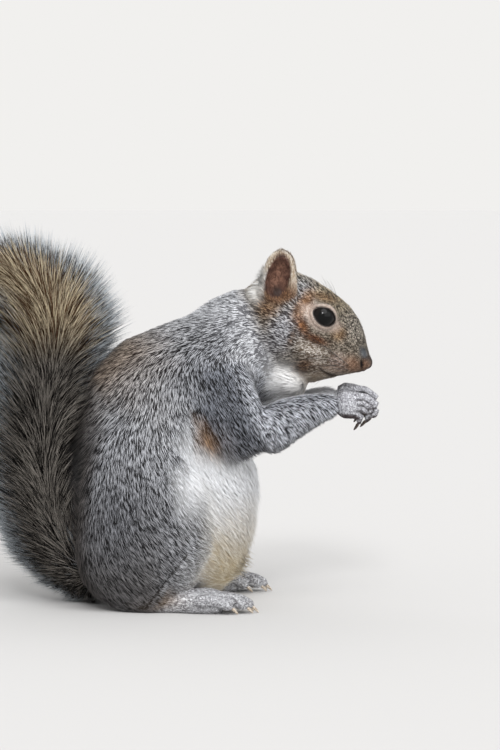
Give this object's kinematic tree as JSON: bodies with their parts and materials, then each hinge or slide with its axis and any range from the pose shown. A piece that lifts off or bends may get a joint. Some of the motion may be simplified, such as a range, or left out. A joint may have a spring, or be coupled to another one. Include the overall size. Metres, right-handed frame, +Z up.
{
  "type": "grey squirrel model",
  "caption": "Life-size still model of a grey squirrel sitting up on its haunches, hands raised to its mouth and bushy tail curled over behind.",
  "frame": {"origin": "middle of the bounding box's base, on the floor", "axes": "+X the way the animal faces, +Y its left side, +Z up"},
  "size_m": [0.2208, 0.098, 0.1697],
  "materials": {
    "coat_grey": "dense short salt-and-pepper hair",
    "coat_face": "very short brown-washed hair",
    "coat_pale": "very short pale grey hair",
    "coat_tail": "long loose hair banded tawny, black and silver",
    "ear_skin": "thin bare skin with down at its rim",
    "nose_skin": "moist pebbled skin",
    "eye": "wet gloss, nearly black",
    "claw": "dark smooth horn"
  },
  "bodies": {
    "root": {"claw_foot_left_1": "claw", "claw_foot_left_2": "claw", "claw_foot_left_3": "claw", "claw_foot_left_4": "claw", "claw_foot_left_5": "claw", "claw_foot_right_1": "claw", "claw_foot_right_2": "claw", "claw_foot_right_3": "claw", "claw_foot_right_4": "claw", "claw_foot_right_5": "claw", "claw_hand_left_1": "claw", "claw_hand_left_2": "claw", "claw_hand_left_3": "claw", "claw_hand_left_4": "claw", "claw_hand_right_1": "claw", "claw_hand_right_2": "claw", "claw_hand_right_3": "claw", "claw_hand_right_4": "claw", "ear_left": "ear_skin", "ear_right": "ear_skin", "eye_left": "eye", "eye_right": "eye", "foot_left": "coat_pale", "foot_right": "coat_pale", "forearm_left": "coat_grey", "forearm_right": "coat_grey", "hand_left": "coat_pale", "hand_right": "coat_pale", "head": "coat_face", "neck": "coat_grey", "nose": "nose_skin", "shank_left": "coat_grey", "shank_right": "coat_grey", "tail_1": "coat_tail", "tail_2": "coat_tail", "tail_3": "coat_tail", "tail_4": "coat_tail", "tail_5": "coat_tail", "thigh_left": "coat_grey", "thigh_right": "coat_grey", "trunk": "coat_grey", "upper_arm_left": "coat_grey", "upper_arm_right": "coat_grey"}
  },
  "joints": []
}
